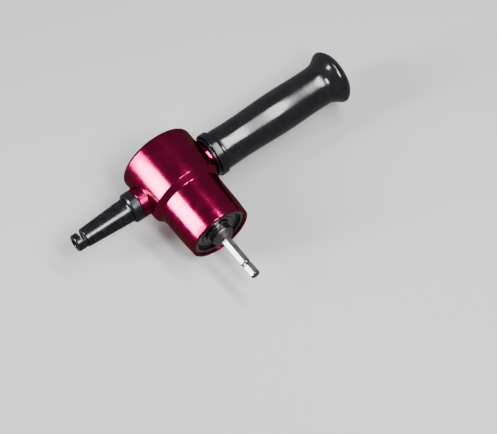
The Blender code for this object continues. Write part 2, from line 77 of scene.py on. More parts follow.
GAP = 0.3                      # clearance between neighbouring pieces
PAST = 1.0                     # how far a cutting shape runs past the face it opens
EDGE = 0.25                    # usual radius of a broken edge
INNER_EDGE = 0.12              # the same inside bores and on thin pieces
ARC_STEP = math.radians(14)    # angle between points on a rounded corner
SHARP_ANGLE = math.radians(32)     # a crease above this is shaded as an edge
FINE = 160                     # segments round the barrel and the handle
MEDIUM = 112                   # round the shaft and the heads
SMALL = 64                     # round the rods and the crank pin
COARSE = 32                    # round pins and drilled holes


# ---- Sizes read from the frame ------------------------------------------------------

def ends(node, axis):
    """Where a CAD node starts and ends along an axis."""
    place = "XYZ".index(axis)
    return [(corner[place] - CROSSING[place]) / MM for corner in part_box(node)]


def reach(node):
    """Where a node that lies to one side starts and ends, measured outwards along X."""
    return sorted(abs(value) for value in ends(node, "X"))


def radius_of(node, axis):
    """A turned node's largest radius about an axis."""
    across = [ends(node, other) for other in "XYZ" if other != axis]
    return max(high - low for low, high in across) / 2


# ---- Outlines -----------------------------------------------------------------------

def round_corner(here, before, after, radius):
    """Points on the arc that replaces a corner. before and after are its neighbours."""
    back = before - here
    ahead = after - here
    half = back.angle(ahead) / 2
    turn = math.pi - 2 * half
    if radius == 0 or turn < ARC_STEP / 4:
        return [here]
    cut = min(radius / math.tan(half), 0.45 * back.length, 0.45 * ahead.length)
    radius = cut * math.tan(half)
    middle = (back.normalized() + ahead.normalized()).normalized()
    centre = here + middle * radius / math.sin(half)
    start = here + back.normalized() * cut - centre
    end = here + ahead.normalized() * cut - centre
    steps = max(2, math.ceil(turn / ARC_STEP))
    points = []
    for step in range(steps + 1):
        share = step / steps
        bend = start * math.sin((1 - share) * turn) + end * math.sin(share * turn)
        points.append(centre + bend / math.sin(turn))
    return points


def soften(corners, edge=EDGE):
    """Rounds an outline's corners by each one's own third value, or else by the usual edge.
    An outline whose first and last corners lie on the axis is open there."""
    is_open = corners[0][1] == 0 and corners[-1][1] == 0
    points = []
    for number, corner in enumerate(corners):
        here = Vector(corner[:2])
        if is_open and number in (0, len(corners) - 1):
            points.append(here)
            continue
        before = Vector(corners[number - 1][:2])
        after = Vector(corners[(number + 1) % len(corners)][:2])
        points += round_corner(here, before, after, corner[2] if len(corner) > 2 else edge)
    return points


def smooth_line(stations, steps):
    """A Catmull-Rom curve through (along, radius) stations."""
    padded = [stations[0]] + list(stations) + [stations[-1]]
    points = [Vector(stations[0])]
    for group in zip(padded, padded[1:], padded[2:], padded[3:]):
        a, b, c, d = [Vector(station) for station in group]
        for step in range(1, steps + 1):
            t = step / steps
            bend = (2 * a - 5 * b + 4 * c - d) * t * t
            tail = (3 * b - a - 3 * c + d) * t * t * t
            points.append((2 * b + (c - a) * t + bend + tail) / 2)
    return [tuple(point) for point in points]


def tube(inner, outer, start, end):
    """The outline of a plain ring."""
    return [(start, inner), (start, outer), (end, outer), (end, inner)]


def rod(radius, start, end):
    """The outline of a plain solid bar."""
    return [(start, 0), (start, radius), (end, radius), (end, 0)]


def on_circle(radius, degrees):
    angle = math.radians(degrees)
    return Vector((radius * math.cos(angle), radius * math.sin(angle)))


def arc(centre, radius, first, last, steps):
    """Sharp outline points on an arc about an (along, radius) centre. 0 degrees points along
    the axis and 90 outwards."""
    angles = [math.radians(first + (last - first) * step / steps) for step in range(steps + 1)]
    return [(centre[0] + radius * math.cos(angle), centre[1] + radius * math.sin(angle), 0)
            for angle in angles]


def rounded_box(half_x, half_z, radius):
    """A rectangle's outline with round corners, as (x, z) points."""
    points = []
    for turn, (sign_x, sign_z) in enumerate([(1, 1), (-1, 1), (-1, -1), (1, -1)]):
        centre = Vector((sign_x * (half_x - radius), sign_z * (half_z - radius)))
        points += [centre + on_circle(radius, 90 * turn + 10 * step) for step in range(10)]
    return points


# ---- Shapes, as bmeshes in millimetres ----------------------------------------------

def turned(corners, axis="Y", segments=FINE, side=1, edge=EDGE, centre=(0, 0, 0)):
    """A lathe shape about X, Y or Z through a centre. side -1 mirrors it along its axis."""
    shape = bmesh.new()
    rings = []
    turn_to = {"X": (0, 1, 2), "Y": (1, 0, 2), "Z": (1, 2, 0)}[axis]
    for along, radius in soften(corners, edge):
        ring = []
        for segment in range(segments if radius > 0 else 1):
            angle = 2 * math.pi * segment / segments
            local = (along * side, radius * math.cos(angle), radius * math.sin(angle))
            ring.append(shape.verts.new([local[turn_to[k]] + centre[k] for k in range(3)]))
        rings.append(ring)
    pairs = list(zip(rings, rings[1:]))
    if len(rings[0]) > 1:
        pairs.append((rings[-1], rings[0]))
    for near, far in pairs:
        for segment in range(segments):
            after = (segment + 1) % segments
            corners_here = [near[segment % len(near)], far[segment % len(far)],
                            far[after % len(far)], near[after % len(near)]]
            shape.faces.new(list(dict.fromkeys(corners_here)))
    bmesh.ops.recalc_face_normals(shape, faces=shape.faces)
    return shape


def prism(outline_at, start, end, edge):
    """A bar along Y. outline_at(inset) gives its closed (x, z) outline, drawn in by inset."""
    shape = bmesh.new()
    rings = []
    for along, inset in ((start, edge), (start + edge, 0), (end - edge, 0), (end, edge)):
        rings.append([shape.verts.new((x, along, z)) for x, z in outline_at(inset)])
    for near, far in zip(rings, rings[1:]):
        for number in range(len(near)):
            after = (number + 1) % len(near)
            shape.faces.new([near[number], far[number], far[after], near[after]])
    shape.faces.new(rings[0])
    shape.faces.new(rings[-1])
    bmesh.ops.recalc_face_normals(shape, faces=shape.faces)
    return shape


def block(low, high):
    """A box between two corners."""
    shape = bmesh.new()
    bmesh.ops.create_cube(shape, size=1.0)
    size = [b - a for a, b in zip(low, high)]
    bmesh.ops.scale(shape, vec=size, verts=shape.verts)
    bmesh.ops.translate(shape, vec=[(a + b) / 2 for a, b in zip(low, high)], verts=shape.verts)
    return shape


def as_object(shape, name="shape"):
    mesh = bpy.data.meshes.new(name)
    shape.to_mesh(mesh)
    shape.free()
    made = bpy.data.objects.new(name, mesh)
    bpy.context.collection.objects.link(made)
    return made


def combined(shape, *steps):
    """Joins other shapes to a shape, cuts them from it, or keeps only what they share with it.
    Each step is (operation, other shape)."""
    base = as_object(shape)
    for operation, other in steps:
        tool = as_object(other)
        change = base.modifiers.new("change", "BOOLEAN")
        change.operation = operation
        change.object = tool
        depsgraph = bpy.context.evaluated_depsgraph_get()
        result = bpy.data.meshes.new_from_object(base.evaluated_get(depsgraph))
        base.modifiers.clear()
        if operation != "UNION" or len(result.vertices) > len(base.data.vertices):
            base.data = result                       # a failed union would lose the base
        bpy.data.objects.remove(tool)
    after = bmesh.new()
    after.from_mesh(base.data)
    bpy.data.objects.remove(base)
    return after


# ---- Materials ----------------------------------------------------------------------

class Paint:
    """One material: a Principled shader and the patterns that feed it."""

    def __init__(self, name, colour, roughness, metallic=0.0, **sockets):
        self.material = bpy.data.materials.new(name)
        self.material.use_nodes = True
        self.tree = self.material.node_tree
        self.shader = self.tree.nodes["Principled BSDF"]
        self.shader.inputs["Base Color"].default_value = (*colour, 1)
        self.shader.inputs["Roughness"].default_value = roughness
        self.shader.inputs["Metallic"].default_value = metallic
        for label, value in sockets.items():
            self.shader.inputs[label.replace("_", " ")].default_value = value

    def node(self, kind, inputs, **settings):
        """Adds a node, sets or links its inputs by name or number, and returns the node."""
        made = self.tree.nodes.new("ShaderNode" + kind)
        for label, value in settings.items():
            setattr(made, label, value)
        for label, value in inputs.items():
            if isinstance(value, bpy.types.NodeSocket):
                self.tree.links.new(value, made.inputs[label])
            else:
                made.inputs[label].default_value = value
        return made

    def place(self):
        return self.node("TexCoord", {}).outputs["Object"]

    def times(self, a, b):
        return self.node("Math", {0: a, 1: b}, operation="MULTIPLY").outputs[0]

    def noise(self, vector, size, detail, rough=0.5, flat=False):
        """A noise pattern from 0 to 1 whose features are about size millimetres across."""
        inputs = {"Vector": vector, "Scale": 1 / (size * MM), "Detail": detail, "Roughness": rough}
        made = self.node("TexNoise", inputs, noise_dimensions="2D" if flat else "3D")
        return made.outputs["Fac"]

    def spread(self, value, low, high, to_low=0.0, to_high=1.0):
        """Maps low..high on a pattern to to_low..to_high, with smooth ends."""
        inputs = {"Value": value, "From Min": low, "From Max": high,
                  "To Min": to_low, "To Max": to_high}
        return self.node("MapRange", inputs, interpolation_type="SMOOTHSTEP").outputs["Result"]

    def mixed(self, share, colour_a, colour_b):
        """colour_b over colour_a by share. Each is a plain colour or a socket."""
        inputs = {0: share}
        for place, colour in ((6, colour_a), (7, colour_b)):
            inputs[place] = colour if isinstance(colour, bpy.types.NodeSocket) else (*colour, 1)
        return self.node("Mix", inputs, data_type="RGBA").outputs[2]

    def mottled(self, pattern, colour_a, colour_b):
        """Drifts from colour_a to colour_b with a noise pattern."""
        return self.mixed(self.spread(pattern, 0.35, 0.7), colour_a, colour_b)

    def round_axis(self, axis):
        """(along, radius) about the drive axis or the ram's axis, which turning marks follow."""
        centre = self.node("VectorMath", {0: self.place(), 1: CROSSING}, operation="SUBTRACT")
        split = self.node("SeparateXYZ", {0: centre.outputs[0]})
        across = {label: split.outputs[label] for label in "XYZ" if label != axis}
        flat = self.node("CombineXYZ", across)
        radius = self.node("VectorMath", {0: flat.outputs[0]}, operation="LENGTH")
        inputs = {0: split.outputs[axis], 1: radius.outputs["Value"]}
        return self.node("CombineXYZ", inputs).outputs[0]

    def edges(self, size):
        """About 1 on edges sharper than size millimetres, and 0 on open surfaces."""
        bevel = self.node("Bevel", {"Radius": size * MM}, samples=6)
        normal = self.node("NewGeometry", {}).outputs["Normal"]
        dot = self.node("VectorMath", {0: bevel.outputs[0], 1: normal}, operation="DOT_PRODUCT")
        return self.spread(dot.outputs["Value"], 0.995, 0.9)

    def feed(self, label, value):
        self.tree.links.new(value, self.shader.inputs[label])

    def bump(self, *layers):
        """Feeds the shader's normal. Each layer is (pattern, height in millimetres)."""
        normal = None
        for pattern, height in layers:
            inputs = {"Height": pattern, "Strength": 1.0, "Distance": height * MM}
            if normal:
                inputs["Normal"] = normal
            normal = self.node("Bump", inputs).outputs[0]
        self.feed("Normal", normal)


def red_anodised(axis):
    """Candy-red anodised aluminium: turned, polished and dyed, under a clear gloss."""
    paint = Paint("red_anodised", (0.34, 0.001, 0.07), 0.2, 1.0, Coat_Weight=0.3,
                  Coat_Roughness=0.03, Coat_IOR=1.5, Specular_Tint=(0.4, 0.01, 0.08, 1))
    turning = paint.round_axis(axis)
    lines = paint.noise(turning, 0.35, detail=3, flat=True)
    bands = paint.noise(turning, 4.0, detail=1, flat=True)
    clouds = paint.noise(paint.place(), 14, detail=3)
    depth = paint.mottled(clouds, (0.31, 0.001, 0.066), (0.38, 0.002, 0.082))
    banding = paint.times(paint.spread(bands, 0.4, 0.7), 0.35)
    dye = paint.mixed(banding, depth, (0.26, 0.0, 0.052))
    worn = paint.times(paint.edges(0.35), paint.spread(clouds, 0.3, 0.6, 0.1, 0.4))
    paint.feed("Base Color", paint.mixed(worn, dye, (0.62, 0.13, 0.2)))
    smears = paint.noise(paint.place(), 5, detail=4, rough=0.6)
    paint.feed("Roughness", paint.spread(smears, 0.3, 0.75, 0.16, 0.24))
    paint.bump((lines, 0.0012), (clouds, 0.012))
    return paint.material


def black_steel(axis):
    """Turned steel with a glossy black oxide finish."""
    paint = Paint("black_steel_" + axis, (0.004, 0.004, 0.006), 0.22, Coat_Weight=0.15,
                  Coat_Roughness=0.06, Specular_IOR_Level=0.4)
    lines = paint.noise(paint.round_axis(axis), 0.25, detail=3, flat=True)
    smears = paint.noise(paint.place(), 3.5, detail=4, rough=0.6)
    tone = paint.mottled(smears, (0.003, 0.0032, 0.005), (0.005, 0.0055, 0.008))
    worn = paint.times(paint.edges(0.22), paint.spread(smears, 0.45, 0.6, 0.05, 0.4))
    paint.feed("Base Color", paint.mixed(worn, tone, (0.06, 0.06, 0.065)))
    paint.feed("Roughness", paint.spread(smears, 0.3, 0.75, 0.2, 0.29))
    paint.bump((lines, 0.0012), (smears, 0.002))
    return paint.material


def black_plastic(axis):
    """Glossy moulded plastic, with the slight waves of a moulded skin."""
    paint = Paint("black_plastic", (0.004, 0.0045, 0.006), 0.17, Specular_IOR_Level=0.5,
                  Coat_Weight=0.25, Coat_Roughness=0.05)
    waves = paint.noise(paint.place(), 7, detail=1)
    skin = paint.noise(paint.place(), 0.7, detail=2)
    dust = paint.noise(paint.place(), 1.6, detail=5, rough=0.7)
    tone = paint.mottled(waves, (0.003, 0.0033, 0.005), (0.005, 0.0055, 0.008))
    specks = paint.spread(dust, 0.66, 0.74, 0, 0.05)
    paint.feed("Base Color", paint.mixed(specks, tone, (0.2, 0.2, 0.21)))
    paint.feed("Roughness", paint.spread(dust, 0.35, 0.72, 0.15, 0.23))
    paint.bump((waves, 0.012), (skin, 0.0008))
    return paint.material


def ground_steel(axis):
    """Bare steel, ground round its axis and lightly oiled."""
    paint = Paint("ground_steel_" + axis, (0.42, 0.42, 0.44), 0.28, 1.0)
    lines = paint.noise(paint.round_axis(axis), 0.12, detail=4, rough=0.7, flat=True)
    oil = paint.noise(paint.place(), 4, detail=3)
    tone = paint.mottled(oil, (0.36, 0.35, 0.35), (0.5, 0.5, 0.52))
    scored = paint.spread(lines, 0.3, 0.7, 0, 0.35)
    paint.feed("Base Color", paint.mixed(scored, tone, (0.24, 0.235, 0.23)))
    paint.feed("Roughness", paint.spread(oil, 0.3, 0.7, 0.2, 0.34))
    paint.bump((lines, 0.002))
    return paint.material


def dark_steel(axis):
    """Hardened steel, dark from its heat treatment, with a film of oil."""
    paint = Paint("dark_steel_" + axis, (0.22, 0.21, 0.22), 0.3, 1.0)
    lines = paint.noise(paint.round_axis(axis), 0.16, detail=4, rough=0.7, flat=True)
    temper = paint.noise(paint.place(), 6, detail=3)
    tone = paint.mottled(temper, (0.17, 0.16, 0.17), (0.27, 0.255, 0.25))
    bright = paint.times(paint.edges(0.2), paint.spread(temper, 0.3, 0.6, 0.2, 0.7))
    paint.feed("Base Color", paint.mixed(bright, tone, (0.5, 0.49, 0.48)))
    paint.feed("Roughness", paint.spread(temper, 0.3, 0.7, 0.22, 0.36))
    paint.bump((lines, 0.002))
    return paint.material


def bronze(axis):
    """Oil-filled sintered bronze, with fine open pores."""
    paint = Paint("bronze", (0.55, 0.36, 0.16), 0.36, 1.0)
    solid = paint.spread(paint.noise(paint.place(), 0.35, detail=3, rough=0.6), 0.34, 0.46)
    tint = paint.noise(paint.place(), 4, detail=2)
    tone = paint.mottled(tint, (0.5, 0.31, 0.13), (0.6, 0.41, 0.2))
    paint.feed("Base Color", paint.mixed(solid, (0.14, 0.09, 0.05), tone))
    paint.feed("Roughness", paint.spread(solid, 0, 1, 0.6, 0.34))
    paint.bump((solid, 0.01))
    return paint.material


def rubber(axis):
    """Matt nitrile rubber."""
    paint = Paint("rubber", (0.02, 0.02, 0.02), 0.65)
    grain = paint.noise(paint.place(), 0.4, detail=3)
    paint.feed("Base Color", paint.mixed(grain, (0.014, 0.014, 0.014), (0.03, 0.03, 0.032)))
    paint.feed("Roughness", paint.spread(grain, 0.3, 0.7, 0.55, 0.75))
    paint.bump((grain, 0.004))
    return paint.material


# Each finish is given the axis that turning marks follow. Plastic, bronze and rubber have none.
FINISHES = {finish.__name__: finish for finish in (
    red_anodised, black_steel, black_plastic, ground_steel, dark_steel, bronze, rubber)}
made_materials = {}


def finish_for(slot, axis):
    if (slot, axis) not in made_materials:
        made_materials[slot, axis] = FINISHES[slot](axis)
    return made_materials[slot, axis]


def finished(node, shape, axis="Y"):
    """Shows a shape in place of a CAD node, on its body and in its slot's finish."""
    bmesh.ops.recalc_face_normals(shape, faces=shape.faces)
    bmesh.ops.scale(shape, vec=(MM, MM, MM), verts=shape.verts)
    bmesh.ops.translate(shape, vec=CROSSING, verts=shape.verts)
    piece = as_object(shape, node + "_finished")
    piece.data.materials.append(finish_for(SLOTS[node], axis))
    piece.data.shade_smooth()
    piece.data.set_sharp_from_angle(angle=SHARP_ANGLE)
    shading = piece.modifiers.new("even_shading", "WEIGHTED_NORMAL")
    shading.keep_sharp = True
    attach(piece, frame["nodes"][node]["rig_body"])
    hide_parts(node)


# ---- Barrel -------------------------------------------------------------------------

_, BARREL_R = ends("housing", "Z")
BARREL_FRONT, BARREL_REAR = ends("housing", "Y")
BARREL_ROUND = 2.5
LEAD_START = -7.0              # where the barrel starts to draw in a little
LEAD_ROUND = 6.0
BEVEL_START = -13.7            # where it steps down to its nose
BEVEL_R = 26.8
BEVEL_END = -18.0
NOSE_R = 23.2
NOSE_LEAD_START = -42.0        # where the nose draws in the same way
NOSE_LEAD_R = 22.9
NOSE_MOUTH_R = 22.3
MOUTH_CHAMFER = 0.4            # inside both ends of the barrel
CHAMBER_R = 17.6
CHAMBER_FRONT = -11.0
RIB_BORE_R = 14.5              # bore of the rib between the chamber and the bearings
BOSS_R = radius_of("lock_nut_left", "X")
BOSS_END = reach("lock_nut_left")[0] - GAP
BOSS_FILLET = 0.8
BOSS_SINK = 0.04               # how far the fillet sinks in, so that the union meets it cleanly
NECK_R = BOSS_R - 1.9          # neck on each boss, inside its lock nut
NECK_END = ends("housing", "X")[1]


def boss_skirt(side):
    """The fillet between a side boss and the barrel: the track of a ball that rolls round
    the boss and touches both."""
    ball_from_drive = BARREL_R + BOSS_FILLET - BOSS_SINK
    ball_from_ram = BOSS_R + BOSS_FILLET - BOSS_SINK
    steps = 8
    shape = bmesh.new()
    rings = []
    for segment in range(FINE):
        y, z = on_circle(ball_from_ram, 360 * segment / FINE)
        centre = Vector((math.sqrt(ball_from_drive ** 2 - z ** 2), y, z))
        to_barrel = -Vector((centre.x, 0, z)).normalized()
        to_boss = -Vector((0, y, z)).normalized()
        section = [centre + to_barrel.slerp(to_boss, step / steps) * BOSS_FILLET
                   for step in range(steps + 1)]
        inside = section[-1] * 0.8             # closes the section, well inside the boss
        inside.x = section[0].x - 2
        rings.append([shape.verts.new((side * x, y, z)) for x, y, z in (*section, inside)])
    for number, ring in enumerate(rings):
        following = rings[(number + 1) % FINE]
        for place in range(len(ring)):
            after = (place + 1) % len(ring)
            shape.faces.new([ring[place], following[place], following[after], ring[after]])
    bmesh.ops.recalc_face_normals(shape, faces=shape.faces)
    return shape


def make_housing():
    seat_r = radius_of("front_bearing_outer", "Y") + GAP
    tube_r = radius_of("inner_bearing_outer", "Y") + GAP
    plug_r = radius_of("rear_plug", "Y") + GAP
    side_bore_r = radius_of("guide_bush_left", "X") + GAP
    tube_front, _ = ends("outer_spacer", "Y")
    rib_front = ends("inner_bearing_outer", "Y")[1] + GAP
    chamber_rear = ends("rear_plug", "Y")[0] - GAP
    rear_groove_r = radius_of("rear_circlip", "Y") + GAP
    front_groove_r = radius_of("front_circlip", "Y") + GAP
    flare = MOUTH_CHAMFER + PAST
    outside = [(BARREL_REAR, 0), (BARREL_REAR, BARREL_R, BARREL_ROUND),
               (LEAD_START, BARREL_R, LEAD_ROUND), (BEVEL_START, BEVEL_R, 0.5),
               (BEVEL_END, NOSE_R, 0.7), (NOSE_LEAD_START, NOSE_LEAD_R, LEAD_ROUND),
               (BARREL_FRONT, NOSE_MOUTH_R, 0.8), (BARREL_FRONT, 0)]
    boss = [(0, 0), (0, BOSS_R), (BOSS_END, BOSS_R, 0.5), (BOSS_END, NECK_R),
            (NECK_END, NECK_R, 0.6), (NECK_END, 0)]
    inside = [(BARREL_REAR + PAST, 0), (BARREL_REAR + PAST, plug_r + flare),
              (BARREL_REAR - MOUTH_CHAMFER, plug_r),
              *groove("rear_circlip", plug_r, rear_groove_r, INNER_EDGE),
              (chamber_rear, plug_r), (chamber_rear, CHAMBER_R), (CHAMBER_FRONT, CHAMBER_R, 1.0),
              (CHAMBER_FRONT, RIB_BORE_R), (rib_front, RIB_BORE_R), (rib_front, tube_r),
              (tube_front, tube_r), (tube_front, seat_r),
              *groove("front_circlip", seat_r, front_groove_r, INNER_EDGE),
              (BARREL_FRONT + MOUTH_CHAMFER, seat_r), (BARREL_FRONT - PAST, seat_r + flare),
              (BARREL_FRONT - PAST, 0)]
    side_bore = turned(rod(side_bore_r, -NECK_END - PAST, NECK_END + PAST), "X", MEDIUM, edge=0)
    steps = [("UNION", turned(boss, "X", FINE, side, edge=0)) for _, side in SIDES]
    steps += [("UNION", boss_skirt(side)) for _, side in SIDES]
    steps += [("DIFFERENCE", turned(inside, edge=INNER_EDGE)), ("DIFFERENCE", side_bore)]
    finished("housing", combined(turned(outside, edge=0.3), *steps))


# Retaining rings: inner and outer radius, radius of the lugs, and the side that the opening
# faces, in degrees from +X towards +Z
REAR_RING = ((17.3, 19.8), 16.1, 20)
FRONT_RING = ((17.6, 20.8), 15.4, 90)
SHAFT_RING = ((7.7, 9.6), 11.2, 90)
RING_PLAY = 0.2                # how much wider each ring's groove is at either side
EYE_R = 0.6                    # the hole in each lug


def groove(circlip, surface_r, floor_r, floor_edge):
    """The corners of a circlip's groove, from its rear side to its front side."""
    front, rear = ends(circlip, "Y")
    front -= RING_PLAY
    rear += RING_PLAY
    return [(rear, surface_r), (rear, floor_r, floor_edge), (front, floor_r, floor_edge),
            (front, surface_r)]


def make_circlip(node, band, lug_r, facing):
    """A spring ring open at one side, with two drilled lugs that stand off its free edge."""
    front, rear = ends(node, "Y")
    inner, outer = band
    inward = lug_r < inner
    free_r, fixed_r = (inner, outer) if inward else (outer, inner)
    lug_turn, half_gap = (12.0, 6.0) if inward else (18.0, 9.0)      # in degrees
    start, end = facing + half_gap, facing + 360 - half_gap

    def sweep(radius, first, last, steps=90):
        return [on_circle(radius, first + (last - first) * step / steps)
                for step in range(steps + 1)]

    def outline(inset):
        sign = 1 if inward else -1
        trim = math.degrees(inset / fixed_r)
        first, last = start + trim, end - trim
        shoulder, back_shoulder = start + lug_turn - trim, end - lug_turn + trim
        lug = lug_r + sign * inset
        return [on_circle(lug, first), on_circle(lug, shoulder),
                *sweep(free_r + sign * inset, shoulder, back_shoulder),
                on_circle(lug, back_shoulder), on_circle(lug, last),
                *sweep(fixed_r - sign * inset, last, first)]

    middle = (lug_r + fixed_r) / 2
    eyes = []
    for degrees in (start + lug_turn / 2, end - lug_turn / 2):
        x, z = on_circle(middle, degrees)
        eye = rod(EYE_R, front - PAST, rear + PAST)
        eyes.append(("DIFFERENCE", turned(eye, segments=24, edge=0, centre=(x, 0, z))))
    finished(node, combined(prism(outline, front, rear, INNER_EDGE), *eyes))


SEAL_GROOVE = (17.1, 19.0)     # where the seal's groove in the rear plug starts and ends
SEAL_FLOOR_R = 17.3
DISH_R = 12.3                  # the shallow dish in the plug's face
DISH_DEPTH = 0.35
SPANNER_HOLE_Z = 9.0
SPANNER_HOLE_R = 1.6
SPANNER_HOLE_FLOOR = 17.6


def make_rear_cover():
    front, rear = ends("rear_plug", "Y")
    edge = radius_of("rear_plug", "Y")
    groove_start, groove_end = SEAL_GROOVE
    dish = rear - DISH_DEPTH
    outline = [(front, 0), (front, edge), (groove_start, edge), (groove_start, SEAL_FLOOR_R, 0.1),
               (groove_end, SEAL_FLOOR_R, 0.1), (groove_end, edge), (rear, edge, 0.4),
               (rear, DISH_R + 0.3), (dish, DISH_R), (dish, 0)]
    hole = [(SPANNER_HOLE_FLOOR, 0), (SPANNER_HOLE_FLOOR, SPANNER_HOLE_R),
            (dish - 0.3, SPANNER_HOLE_R), (rear + PAST, 2 * SPANNER_HOLE_R), (rear + PAST, 0)]
    holes = [("DIFFERENCE", turned(hole, segments=COARSE, edge=0, centre=(0, 0, z)))
             for z in (-SPANNER_HOLE_Z, SPANNER_HOLE_Z)]
    finished("rear_plug", combined(turned(outline), *holes))
    low, high = ends("rear_o_ring", "Y")
    cord_r = (high - low) / 2
    seal_centre = ((low + high) / 2, radius_of("rear_o_ring", "Y") - cord_r)
    finished("rear_o_ring", turned(arc(seal_centre, cord_r, 0, 340, 17)))
    make_circlip("rear_circlip", *REAR_RING)


JOURNAL_R = 8.2
FRONT_BALLS = (14.25, 3.2)     # pitch radius and ball radius
INNER_BALLS = (13.0, 2.4)
BALLS = 8
BALL_TURN = 2.0                # degrees that the balls stand off the cage band's own corners
RACE_FACE = 0.68               # from the pitch circle to a race's edge, in ball radii
CAGE_HALF = (0.3, 0.4)         # the cage band's half thickness and half width, in ball radii


def make_bearing(prefix, pitch, ball):
    """Two grooved rings, and the balls held together by their cage."""
    low, high = ends(prefix + "_bearing_outer", "Y")
    outer = radius_of(prefix + "_bearing_outer", "Y")
    bore = JOURNAL_R + GAP
    centre = (low + high) / 2
    face = RACE_FACE * ball
    track_r = ball + GAP
    tilt = math.degrees(math.asin(face / track_r))
    track = arc((centre, pitch), track_r, tilt, 180 - tilt, 16)
    ring = [(low, outer, 0.6), (high, outer, 0.6), (high, pitch + face), *track,
            (low, pitch + face)]
    finished(prefix + "_bearing_outer", turned(ring, segments=MEDIUM))
    track = arc((centre, pitch), track_r, 180 + tilt, 360 - tilt, 16)
    ring = [(high, bore, 0.5), (low, bore, 0.5), (low, pitch - face), *track,
            (high, pitch - face)]
    finished(prefix + "_bearing_inner", turned(ring, segments=MEDIUM))
    thick, wide = [share * ball for share in CAGE_HALF]
    band = tube(pitch - thick, pitch + thick, centre - wide, centre + wide)
    steps = []
    for number in range(BALLS):
        x, z = on_circle(pitch, 360 * number / BALLS + BALL_TURN)
        sphere = bmesh.new()
        bmesh.ops.create_uvsphere(sphere, u_segments=32, v_segments=16, radius=ball,
                                  matrix=Matrix.Translation((x, centre, z)))
        steps.append(("UNION", sphere))
    cage = combined(turned(band, segments=MEDIUM, edge=0.1), *steps)
    finished(prefix + "_bearing_balls", cage)


SPACER_BORE_R = 15.2
SHIELD_BORE_R = 12.4


def make_barrel_parts():
    make_housing()
    make_rear_cover()
    make_bearing("front", *FRONT_BALLS)
    make_bearing("inner", *INNER_BALLS)
    spacer = tube(SPACER_BORE_R, radius_of("outer_spacer", "Y"), *ends("outer_spacer", "Y"))
    finished("outer_spacer", turned(spacer, segments=MEDIUM))
    low, high = ends("front_bearing_shield", "Y")
    edge = radius_of("front_bearing_shield", "Y")
    shield = [(high, SHIELD_BORE_R), (high, edge), (low + 0.25, edge, 0.2), (low, edge - 1.0),
              (low, SHIELD_BORE_R + 0.8), (low + 0.2, SHIELD_BORE_R)]
    finished("front_bearing_shield", turned(shield, segments=MEDIUM, edge=0.1))
    make_circlip("front_circlip", *FRONT_RING)
    for name, side in SIDES:
        node = "guide_bush_" + name
        bush = tube(ROD_R + GAP, radius_of(node, "X"), *reach(node))
        finished(node, turned(bush, "X", SMALL, side), "X")


# ---- Drive shaft --------------------------------------------------------------------

CRANK_DISC = (-5.0, -10.6)     # its face towards the crank pin, and its back
CRANK_DISC_R = 12.0
SHOULDER_END = -13.7
SHOULDER_R = 10.4
CONE_START = -53.7             # where the shaft narrows to its shank
CONE_END = -57.5
CONE_END_R = 4.6
HEX_FLATS = 6.35
HEX_TURN = 45.0                # degrees from +X to one of the shank's corners
SHANK_START = -56.5            # inside the cone
SHANK_CORNER_R = 3.66
SHANK_CLEAR_R = 5.0            # clear of the hexagon's corners
DETENT = ((-77.6, 3.9), (-79.2, 2.8), (-80.8, 2.8), (-82.4, 3.9))    # groove the chuck holds
TIP_CHAMFER = 1.2
TIP_R = 2.9
CENTRE_HOLE = 0.9              # radius and depth of the hole that a lathe centre leaves
PIN_PLACE = (2.5, 0, 0)        # half of the punch stroke from the drive axis
PIN_R = 2.4
PIN_NECK = (5.0, 5.8)          # where the clip's neck in the crank pin starts and ends
PIN_NECK_R = 1.7
PIN_HEAD_R = 2.2
PIN_END = 6.4


def make_shaft():
    make_shaft_body()
    make_circlip("shaft_circlip", *SHAFT_RING)
    clip = tube(PIN_NECK_R + GAP, radius_of("crank_pin_clip", "Y"), *ends("crank_pin_clip", "Y"))
    clip = turned(clip, segments=SMALL, edge=INNER_EDGE, centre=PIN_PLACE)
    finished("crank_pin_clip", clip)
    roller = tube(PIN_R + GAP, radius_of("crank_roller", "Y"), *ends("crank_roller", "Y"))
    finished("crank_roller", turned(roller, segments=SMALL, edge=0.4, centre=PIN_PLACE))


